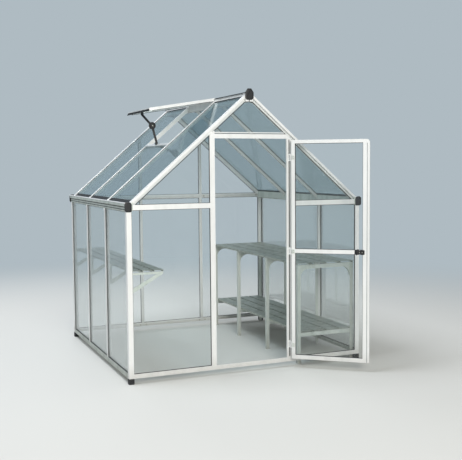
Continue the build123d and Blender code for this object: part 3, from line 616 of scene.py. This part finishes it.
def lobedHead(values, radius, depth):
    head = flatDisc(radius, values["headSides"])
    for vert in head.verts:
        turn = atan2(vert.co.y, vert.co.x)
        vert.co.xy *= 1 - values["lobeDepth"] * (0.5 - 0.5 * cos(values["lobes"] * turn))
    pullFaces(head, head.faces, (0, 0, depth))
    bmesh.ops.recalc_face_normals(head, faces=head.faces)
    bevelEdges(head, frontFace(head).edges, values["edge"])
    sinkFront(head, *values["front"])
    return head


def ventKnob(values):
    whole, bolt = bmesh.new(), bmesh.new()
    low, high = inMillimetres(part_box("vent_stay_knob"))
    radius, length = (high[2] - low[2]) / 2, high[1] - low[1]
    seated = seat(((low[0] + high[0]) / 2, high[1], low[2] + radius), (0, -1, 0))
    collar = roundStud(radius * values["collarShare"], values["collar"] + overlap, 0, values["collarSides"])
    addPart(whole, collar, seated)
    addPart(whole, clampDisc(values), seated @ lifted(overlap))
    addPart(whole, lobedHead(values, radius, length - values["collar"]), seated @ lifted(values["collar"]))
    boltPlace = seated @ lifted(length - values["front"][2] - values["boltSunk"])
    addPart(bolt, roundStud(*values["bolt"]), boltPlace)
    piece = finishPiece("vent_hand_nut", whole, blackNylon, "house")
    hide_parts("vent_stay_knob")
    finishPiece("vent_hand_nut_bolt", bolt, zincSteel, "house")


ventKnob(knob)
print("vent knob ready")

# Shoes pushed over the lower ends of the roof bars and the upper ends of the side studs
shoes = {
    "roofShoe": (26, 13, 19, 3, 1.6), "overhang": 3, "proud": 1,
    "studTip": (26, 15, 3, 3, 1.2), "tipSunk": 0.5,
}


def barShoes(values):
    whole = bmesh.new()
    height, length = values["roofShoe"][1:3]
    tipHeight = house["gutterUnder"] - values["studTip"][1] / 2
    for sign in (-1, 1):
        wall = -house["postHalf"] if sign < 0 else mirrorAcross(-house["postHalf"])
        for y in stations:
            start = slopePoint(sign, length - values["overhang"], values["proud"] - height / 2, y)
            place = seat(start, downSlope(sign), offSlope(sign))
            addPart(whole, roundedBlock(*values["roofShoe"]), place)
            place = seat((wall - sign * values["tipSunk"], y, tipHeight), (sign, 0, 0))
            addPart(whole, roundedBlock(*values["studTip"]), place)
    finishPiece("bar_end_shoes", whole, whiteAbs, "house")


barShoes(shoes)

# Rubber: a seal along the lower edge of the roof panes, which is also painted shade of the slit above the
# gutter, and dark strips where panes meet the roof bars, painted shade of the bars' sides
sealsAndShadeStrips = {
    "top": 42, "topShort": 12, "lip": -7, "lipThickness": 2.4, "cut": (4, 2), "over": 1.2, "under": 1.2,
    "hang": 3, "stripWidth": 4.0, "stripFlat": 1.8, "stripHeight": 2.2,
}


def eaveSealsAndShade(values):
    whole = bmesh.new()
    upper = -house["paneSetback"]
    lower = upper - house["paneThickness"]
    top, over, under = values["top"], upper + values["over"], lower - values["under"]
    lip, foot = values["lip"], lower - values["hang"]
    inner = lip + values["lipThickness"]
    outline = [(top, over), (lip + values["cut"][0], over), (lip, upper - values["cut"][1]), (lip, foot),
               (inner, foot), (inner, under), (top - values["topShort"], under)]
    for sign in (-1, 1):
        for _, near, far in bayEdges():
            points = [slopePoint(sign, along, over, near) * mm for along, over in outline]
            extrudeAlong(whole, points, (0, (far - near) * mm, 0))
    finishPiece("eave_pane_seals_and_painted_shade", whole, rubberAndPaintedShade, "house")


def barShadeStrips(values):
    # dark rubber strips beside each roof bar: painted shade of the bar's sides
    whole = bmesh.new()
    base = -house["paneSetback"]
    raised = base + values["stripHeight"]
    section = [(0, base), (0, raised), (values["stripFlat"], raised), (values["stripWidth"], base)]
    for sign in (-1, 1):
        for i, near, far in bayEdges():
            topX = house["sillX"] - house["studHalf"] if isVentBay(sign, i) else half - house["ridgeHalf"]
            reach = slopeReach(sign, values["top"], topX / cos(slope))
            for y, way in ((near, 1), (far, -1)):
                points = [slopePoint(sign, values["top"], over, y + way * side) * mm
                          for side, over in section]
                extrudeAlong(whole, points, reach)
    finishPiece("roof_bar_painted_shade_strips", whole, rubberAndPaintedShade, "house")


eaveSealsAndShade(sealsAndShadeStrips)
barShadeStrips(sealsAndShadeStrips)

# Ridge: painted shade in dark rubber, a cover over the free lengths of the hinge bead where its shadow falls,
# and a strip at the top of the panes
ridgeShade = {
    "coverInner": 5, "coverOuter": 7.4, "coverFrom": 10, "coverTo": 190, "coverSteps": 9,
    "width": 9, "edge": 1, "proud": 2,
}


def ridgeShadeStrips(values):
    whole = bmesh.new()
    base = -house["paneSetback"]
    top = (half - house["ridgeHalf"] + base * sin(slope)) / cos(slope)
    foot = top - values["width"]
    section = [(top, base), (top, base + values["proud"]), (foot + values["edge"], base + values["proud"]),
               (foot, base)]
    stepTurn = (values["coverTo"] - values["coverFrom"]) / values["coverSteps"]
    turns = [radians(values["coverFrom"] + stepTurn * k) for k in range(values["coverSteps"] + 1)]
    ring = [(values["coverOuter"], turn) for turn in turns]
    ring += [(values["coverInner"], turn) for turn in reversed(turns)]
    for sign in (-1, 1):
        axis = half + sign * (house["ridgeHalf"] - house["beadInset"])
        for i, near, far in bayEdges():
            if isVentBay(sign, i):
                continue
            points = [slopePoint(sign, along, over, near) * mm for along, over in section]
            extrudeAlong(whole, points, (0, (far - near) * mm, 0))
            start = house["endFace"] if i == 0 else near
            end = house["spanY"] - house["endFace"] if i == house["bays"] - 1 else far
            points = [at(axis - sign * radius * cos(turn), start, house["beadHeight"] + radius * sin(turn))
                      for radius, turn in ring]
            extrudeAlong(whole, points, (0, (end - start) * mm, 0))
    finishPiece("ridge_painted_shade_strips", whole, rubberAndPaintedShade, "house")


ridgeShadeStrips(ridgeShade)
print("seals ready")

# Eave gutters: the rolled rim along the lip, and two dark strips on the outer side that are painted shade
# lines under the lip and at the foot of the gutter
gutterTrim = {
    "rimRadius": 4.3, "rimPlace": (26, 1262), "rimSides": 14,
    "stripFace": 19, "strips": ((1233.5, 5.0), (1216, 4.5)), "stripOut": 1.6, "stripRound": 0.6,
}


def gutterRims(values):
    rims, strips = bmesh.new(), bmesh.new()
    near, far = house["endFace"], house["spanY"] - house["endFace"]
    rimOut, rimHeight = values["rimPlace"]
    root = values["stripFace"] - overlap
    tip = values["stripFace"] + values["stripOut"]
    for place in (lambda x: x, mirrorAcross):
        rod = roundStud(values["rimRadius"], far - near, 0, values["rimSides"])
        addPart(rims, rod, seat((place(-rimOut), near, rimHeight), (0, 1, 0)))
        for middle, tall in values["strips"]:
            low, high = middle - tall / 2, middle + tall / 2
            outline = [(root, low), (tip - values["stripRound"], low), (tip, middle),
                       (tip - values["stripRound"], high), (root, high)]
            points = [at(place(-out), near, z) for out, z in outline]
            extrudeAlong(strips, points, (0, (far - near) * mm, 0))
    finishPiece("rolled_gutter_rims", rims, deepBar, "house")
    finishPiece("gutter_painted_shade_strips", strips, rubberAndPaintedShade, "house")


gutterRims(gutterTrim)
print("gutter trim ready")

# Bolts of the frame: a hexagon nut on a washer over the inner side of each joint
bolts = {
    "nutFlats": 10, "nutHeight": 5, "nutEdge": 0.7,
    "washer": (6.5, 1.2, 0.3, 16), "stem": (3.0, 8.5, 0.5, 10),
    "railFromCorner": 32, "railFromUpright": 28, "railFromStud": 26,
    "eaveFromCorner": 48, "eaveFromUpright": 30, "roofFromEnd": 70,
}


def hexNut(whole, values, place, outward):
    up = (0, 0, 1) if abs(outward[2]) < 0.8 else (0, 1, 0)
    seated = seat(place, outward, up)
    addPart(whole, roundStud(*values["washer"]), seated)
    nut = roundStud(values["nutFlats"] / 2 / cos(pi / 6), values["nutHeight"], values["nutEdge"], 6)
    addPart(whole, nut, seated @ lifted(values["washer"][1]))
    addPart(whole, roundStud(*values["stem"]), seated)


def beside(places, distance):
    return [place + side * distance for place in places for side in (-1, 1)]


def frameBolts(values):
    whole = bmesh.new()
    railMiddle = (house["railUnder"] + house["railTop"]) / 2
    fromCorner, eaveCorner = values["railFromCorner"], values["eaveFromCorner"]
    eaveGap = values["eaveFromUpright"]
    near, far = innerFace, house["spanY"] - innerFace
    for y, way, uprights in ((near, 1, house["doorPosts"]), (far, -1, backStuds)):
        along = [fromCorner, mirrorAcross(fromCorner)] + beside(uprights, values["railFromUpright"])
        for x in along:
            hexNut(whole, values, (x, y, railMiddle), (0, way, 0))
        for x in (eaveCorner, mirrorAcross(eaveCorner), uprights[0] - eaveGap, uprights[1] + eaveGap):
            hexNut(whole, values, (x, y, house["eave"]), (0, way, 0))
    for x, way in ((innerFace, 1), (mirrorAcross(innerFace), -1)):
        along = [fromCorner, house["spanY"] - fromCorner] + beside(stations, values["railFromStud"])
        for y in along:
            hexNut(whole, values, (x, y, railMiddle), (way, 0, 0))
    for post, side in zip(house["doorPosts"], (1, -1)):
        hexNut(whole, values, (post + side * eaveGap, near, house["header"]), (0, 1, 0))
    gableBolt = house["postHalf"] - house["rafterLeg"] / 2      # under the inner leg of a rafter
    for sign in (-1, 1):
        for along in (values["roofFromEnd"], half / cos(slope) - values["roofFromEnd"]):
            for y in stations:
                hexNut(whole, values, slopePoint(sign, along, -house["barDepth"], y), -offSlope(sign))
            for y in (gableBolt, house["spanY"] - gableBolt):
                hexNut(whole, values, slopePoint(sign, along, -house["rafterHeight"], y), -offSlope(sign))
    finishPiece("frame_nuts", whole, zincSteel, "house")


frameBolts(bolts)
print("bolts ready")

# Rubber gaskets: a thin dark line round each wall and door pane, on both of its faces
gaskets = {"width": 3.0, "proud": 2.0}


def paneGaskets(whole, values, outline, faces, place):
    # outline runs across and up, faces are the places of the pane's two faces
    for level, way in zip(faces, (-1, 1)):
        part = bmesh.new()
        part.faces.new([part.verts.new((across, level, up)) for across, up in outline])
        ringSolid(part, values["width"], (0, way * values["proud"], 0))
        addPart(whole, part, place @ Matrix.Scale(mm, 4))


def oblong(left, right, low, high):
    return [(left, low), (right, low), (right, high), (left, high)]


def endOpenings(uprights, uprightHalf, middleLow):
    # openings of an end wall: two beside the uprights, then three in the gable over the bars
    low, high = house["railTop"], house["eave"] - house["postHalf"]
    barTop = house["eave"] + house["postHalf"]
    left, right = uprights[0] - uprightHalf, uprights[1] + uprightHalf
    yield oblong(house["postHalf"], left, low, high)
    yield oblong(right, mirrorAcross(house["postHalf"]), low, high)
    toe = (barTop - underRafter(0)) / tan(slope)
    yield [(toe, barTop), (left, barTop), (left, underRafter(left))]
    yield [(mirrorAcross(toe), barTop), (right, underRafter(right)), (right, barTop)]
    # the middle one ends at the ridge, and on the right at the upright or at the rafter before it
    a, b = uprights[0] + uprightHalf, uprights[1] - uprightHalf
    c, d = half - house["ridgeHalf"], half + house["ridgeHalf"]
    foot = min(b, mirrorAcross((middleLow - underRafter(0)) / tan(slope)))
    sides = [(foot, middleLow)] + ([(b, underRafter(b))] if foot == b else [])
    yield [(a, middleLow)] + sides + [(d, underRafter(d)), (c, underRafter(c)), (a, underRafter(a))]


def allGaskets(values):
    fixed, moving = bmesh.new(), bmesh.new()
    outer = house["paneSetback"] - house["postHalf"]
    faces = (outer, outer + house["paneThickness"])
    front, back = cornerPlace(False, False), cornerPlace(False, True)
    overHeader = house["header"] + house["headerHalf"]
    for outline in endOpenings(house["doorPosts"], house["doorPostHalf"], overHeader):
        paneGaskets(fixed, values, outline, faces, front)
    for outline in endOpenings(backStuds, house["studHalf"], house["eave"] + house["postHalf"]):
        paneGaskets(fixed, values, outline, faces, back)
    middle = oblong(backStuds[0] + house["studHalf"], backStuds[1] - house["studHalf"], house["railTop"],
                    house["eave"] - house["postHalf"])
    paneGaskets(fixed, values, middle, faces, back)
    leftWall = Matrix(((0, 1, 0, 0), (1, 0, 0, 0), (0, 0, 1, 0), (0, 0, 0, 1)))     # swaps X and Y
    rightWall = cornerPlace(True, False) @ leftWall
    for _, near, far in bayEdges():
        outline = oblong(near, far, house["railTop"], house["gutterUnder"])
        for wall in (leftWall, rightWall):
            paneGaskets(fixed, values, outline, faces, wall)
    for low, high in door["openUp"]:
        paneGaskets(moving, values, oblong(*door["openAcross"], low, high), door["paneFaces"], doorSwung)
    finishPiece("wall_pane_gaskets", fixed, rubberAndPaintedShade, "house")
    finishPiece("door_pane_gaskets", moving, rubberAndPaintedShade, "door")


allGaskets(gaskets)
print("gaskets ready")

# Painted shade: dark strips pressed into the bolt channels on the inner side of roof bars and studs, where
# the channels lie in shade
channelShade = {"half": 3.7, "deep": 24, "shallow": 28, "lowest": 40, "ridgeGap": 2}


def channelShadeStrips(values):
    whole = bmesh.new()
    top = (half - house["ridgeHalf"]) / cos(slope) - values["ridgeGap"]
    section = oblong(-values["half"], values["half"], values["deep"], values["shallow"])
    for sign in (-1, 1):
        for y in stations:
            points = [slopePoint(sign, values["lowest"], -depth, y + side) * mm for side, depth in section]
            extrudeAlong(whole, points, slopeReach(sign, values["lowest"], top))
            wall = [(depth - house["postHalf"], y + side) for side, depth in section]
            points = [at(x if sign < 0 else mirrorAcross(x), v, house["railTop"]) for x, v in wall]
            extrudeAlong(whole, points, (0, 0, (house["gutterUnder"] - house["railTop"]) * mm))
    finishPiece("bolt_channel_painted_shade", whole, rubberAndPaintedShade, "house")


channelShadeStrips(channelShade)

# Vent: painted shade in dark rubber, a lip over the free edge and a strip under its side rails, faces that
# turn from the light.
# Its places are measured from the hinge bead, along the vent and over its middle plane.
ventShade = {
    "lift": 31.8, "halfDepth": 11,
    "lip": ((540.5, 4.5), (543.5, 3.5), (543.5, -5.5), (550.5, -5.5), (550.5, -12.5), (540.5, -12.5)),
    "sideFrom": 36, "sideTo": 514, "sideInset": 5, "sideWidth": 14, "sideThickness": 3.5,
}


def ventPoint(values, along, over, y):
    tilt = slope - radians(values["lift"])
    x = half - house["ridgeHalf"] + house["beadInset"] - along * cos(tilt) - over * sin(tilt)
    return at(x, y, house["beadHeight"] - along * sin(tilt) + over * cos(tilt))


def ventShadeStrips(values):
    whole = bmesh.new()
    near, far = stations
    points = [ventPoint(values, along, over, near) for along, over in values["lip"]]
    extrudeAlong(whole, points, (0, (far - near) * mm, 0))
    under = -values["halfDepth"]
    section = oblong(values["sideInset"], values["sideInset"] + values["sideWidth"], under,
                     under - values["sideThickness"])
    reach = ventPoint(values, values["sideTo"], 0, 0) - ventPoint(values, values["sideFrom"], 0, 0)
    for y, way in ((near, 1), (far, -1)):
        points = [ventPoint(values, values["sideFrom"], over, y + way * side) for side, over in section]
        extrudeAlong(whole, points, reach)
    finishPiece("vent_edge_painted_shade", whole, rubberAndPaintedShade, "house")


ventShadeStrips(ventShade)

# Hinge side of the doorway: a dark rubber strip on the post as painted shade in the gap behind the door's
# hinge stile, and a leaf with two screws at each hinge
hingeSide = {
    "shadeAcross": (1220, 1227), "shadeThickness": 2.5, "shadeEdge": 1, "shadeGap": 28, "shadeEnds": (80, 1700),
    "leaf": (26, 30, 2, 4, 0.6), "screw": (3.0, 1.5, 0.5, 14), "screwPlace": (3, 8),
}


def hingeTrim(values):
    shadeStrip, leaves, screws = bmesh.new(), bmesh.new(), bmesh.new()
    marks = sorted([*values["shadeEnds"], *beside(door["hinges"], values["shadeGap"])])
    back = -house["postHalf"]
    front, edge = back - values["shadeThickness"], values["shadeEdge"]
    left, right = values["shadeAcross"]
    for low, high in zip(marks[::2], marks[1::2]):
        points = [at(left, back, low), at(right, back, low), at(right - edge, front, low),
                  at(left + edge, front, low)]
        extrudeAlong(shadeStrip, points, (0, 0, (high - low) * mm))
    width, thick = values["leaf"][0], values["leaf"][2]
    across, up = values["screwPlace"]
    for z in door["hinges"]:
        place = doorSwung @ seat((door["hingeEdge"] - width / 2, door["faces"][0], z), (0, 1, 0))
        addPart(leaves, roundedBlock(*values["leaf"]), place)
        for row in (-1, 1):
            addPart(screws, roundStud(*values["screw"]), place @ lifted(thick, across, row * up))
    finishPiece("door_post_painted_shade", shadeStrip, rubberAndPaintedShade, "house")
    finishPiece("door_hinge_leaves", leaves, crossSlat, "door")
    finishPiece("door_hinge_screws", screws, zincSteel, "door")


hingeTrim(hingeSide)

# Draught strip: a slim grey pile strip along the inner face of the free stile
draught = {"place": 657, "width": 4, "thickness": 1.2, "corner": 1, "edge": 0.4, "ends": (72, 1668)}


def draughtStrip(values):
    whole = bmesh.new()
    low, high = values["ends"]
    strip = roundedBlock(values["width"], high - low, values["thickness"], values["corner"], values["edge"])
    place = seat((values["place"], door["faces"][0], (low + high) / 2), (0, 1, 0))
    addPart(whole, strip, doorSwung @ place)
    finishPiece("door_pile_strip", whole, greyPile, "door")


draughtStrip(draught)

# Glazing bead: a slim aluminium moulding across the pane, just over the door header
bead = {"gap": 6, "height": 7, "front": -16.5, "back": -12.2, "edge": (1, 1.5), "postGap": 1, "rafterGap": 2}


def headerBead(values):
    whole = bmesh.new()
    low = house["header"] + house["headerHalf"] + values["gap"]
    high = low + values["height"]
    front, back = values["front"], values["back"]
    edgeY, edgeZ = values["edge"]
    left = house["doorPosts"][0] + house["doorPostHalf"] + values["postGap"]
    right = mirrorAcross((high - underRafter(0)) / tan(slope)) - values["rafterGap"]
    section = [(back, low), (front + edgeY, low), (front, low + edgeZ), (front, high - edgeZ),
               (front + edgeY, high), (back, high)]
    extrudeAlong(whole, [at(left, y, z) for y, z in section], ((right - left) * mm, 0, 0))
    finishPiece("header_glazing_bead", whole, crossBar, "house")


headerBead(bead)
print("vent seals, hinge trim and bead ready")

# Studio: a pale floor that runs out into a pale surround, soft lamps and the camera. The lamps that
# would lie as white patches on the roof panes aren't mirrored.
studio = {
    "floor": "#CBCBC6", "floorDisc": (60.0, 96), "fadeFrom": 3.0, "fadeTo": 8.0,
    "surround": "#AFBBC2", "skyLight": "#F2F6FA", "skyStrength": 0.45, "aim": (0.9, 0.9, 0.9),
    "lamps": {
        "key": {"place": (-0.6, -9.4, 4.6), "size": 3.6, "watts": 760, "colour": "#FFFAF2"},
        "top": {"place": (-1.6, 0.6, 6.6), "size": 3.4, "watts": 330, "colour": "#EEF4FF"},
        "back": {"place": (0.4, 7.0, 4.6), "size": 3.0, "watts": 160, "colour": "#F4F8FF"},
    },
    "mirrored": ("key",),
}


def seenRays(tree):
    # the kinds of ray, and 1 for one that comes from the camera or off a glossy face
    kinds = addNode(tree, "ShaderNodeLightPath")
    seen = addNode(tree, "ShaderNodeMath", {"operation": "MAXIMUM"}, {
        0: kinds.outputs["Is Camera Ray"], 1: kinds.outputs["Is Glossy Ray"]})
    return kinds, seen.outputs[0]


def buildFloor(values):
    material, tree, place = newMaterial("matt_studio_floor")
    away = addNode(tree, "ShaderNodeVectorMath", {"operation": "LENGTH"}, {0: place})
    fade = addNode(tree, "ShaderNodeMapRange", {
        "interpolation_type": "SMOOTHSTEP", "From Min": values["fadeFrom"], "From Max": values["fadeTo"]},
        {"Value": away.outputs["Value"]})
    share = addNode(tree, "ShaderNodeMath", {"operation": "MULTIPLY"},
                    {0: fade.outputs[0], 1: seenRays(tree)[1]})
    matt = addNode(tree, "ShaderNodeBsdfPrincipled", {
        "Base Color": toLinear(values["floor"]), "Roughness": 0.9, "Specular IOR Level": 0.1})
    pale = addNode(tree, "ShaderNodeEmission", {"Color": toLinear(values["surround"]), "Strength": 1.0})
    mixed = addNode(tree, "ShaderNodeMixShader", links={
        0: share.outputs[0], 1: matt.outputs[0], 2: pale.outputs[0]})
    addNode(tree, "ShaderNodeOutputMaterial", links={"Surface": mixed.outputs[0]})
    floor = meshObject("studio_floor", flatDisc(*values["floorDisc"]), material)


def buildWorld(values):
    # the surround is shown as it is, and the light on the object is weaker
    world = bpy.data.worlds.new("studio_world")
    scene.world = world
    world.use_nodes = True
    tree = world.node_tree
    tree.nodes.clear()
    kinds, seen = seenRays(tree)
    shown = addNode(tree, "ShaderNodeMath", {"operation": "MAXIMUM"}, {
        0: seen, 1: kinds.outputs["Is Transmission Ray"]})
    light = addNode(tree, "ShaderNodeBackground", {
        "Color": toLinear(values["skyLight"]), "Strength": values["skyStrength"]})
    pale = addNode(tree, "ShaderNodeBackground", {"Color": toLinear(values["surround"]), "Strength": 1.0})
    mixed = addNode(tree, "ShaderNodeMixShader", links={
        0: shown.outputs[0], 1: light.outputs[0], 2: pale.outputs[0]})
    addNode(tree, "ShaderNodeOutputWorld", links={"Surface": mixed.outputs[0]})


def buildLamps(values):
    for name, lamp in values["lamps"].items():
        data = bpy.data.lights.new("lamp_" + name, "AREA")
        data.shape = "SQUARE"
        data.size = lamp["size"]
        data.energy = lamp["watts"]
        data.color = toLinear(lamp["colour"])[:3]
        light = bpy.data.objects.new("lamp_" + name, data)
        light.location = lamp["place"]
        towards = Vector(values["aim"]) - Vector(lamp["place"])
        light.rotation_euler = towards.to_track_quat("-Z", "Y").to_euler()
        light.visible_glossy = name in values["mirrored"]
        scene.collection.objects.link(light)


# Camera: its place and lens were fitted to the photograph
view = {
    "place": (-1.508, -5.4624, 1.5115), "yaw": 23.554, "pitch": -4.369, "roll": -0.434,
    "focalPixels": 820.2, "widthPixels": 462, "sensorWidth": 36, "shift": (-0.0305, -0.0038),
}


def buildCamera(values):
    data = bpy.data.cameras.new("photo_camera")
    data.sensor_width = values["sensorWidth"]
    data.lens = values["focalPixels"] / values["widthPixels"] * data.sensor_width
    data.shift_x, data.shift_y = values["shift"]
    camera = bpy.data.objects.new("photo_camera", data)
    turn = Matrix.Rotation(radians(-values["yaw"]), 4, "Z")
    tip = Matrix.Rotation(radians(90 + values["pitch"]), 4, "X")
    roll = Matrix.Rotation(radians(values["roll"]), 4, "Z")
    camera.matrix_world = Matrix.Translation(values["place"]) @ turn @ tip @ roll
    scene.collection.objects.link(camera)
    scene.camera = camera


buildFloor(studio)
buildWorld(studio)
buildLamps(studio)
buildCamera(view)
scene.view_settings.view_transform = "Standard"
print("studio ready")
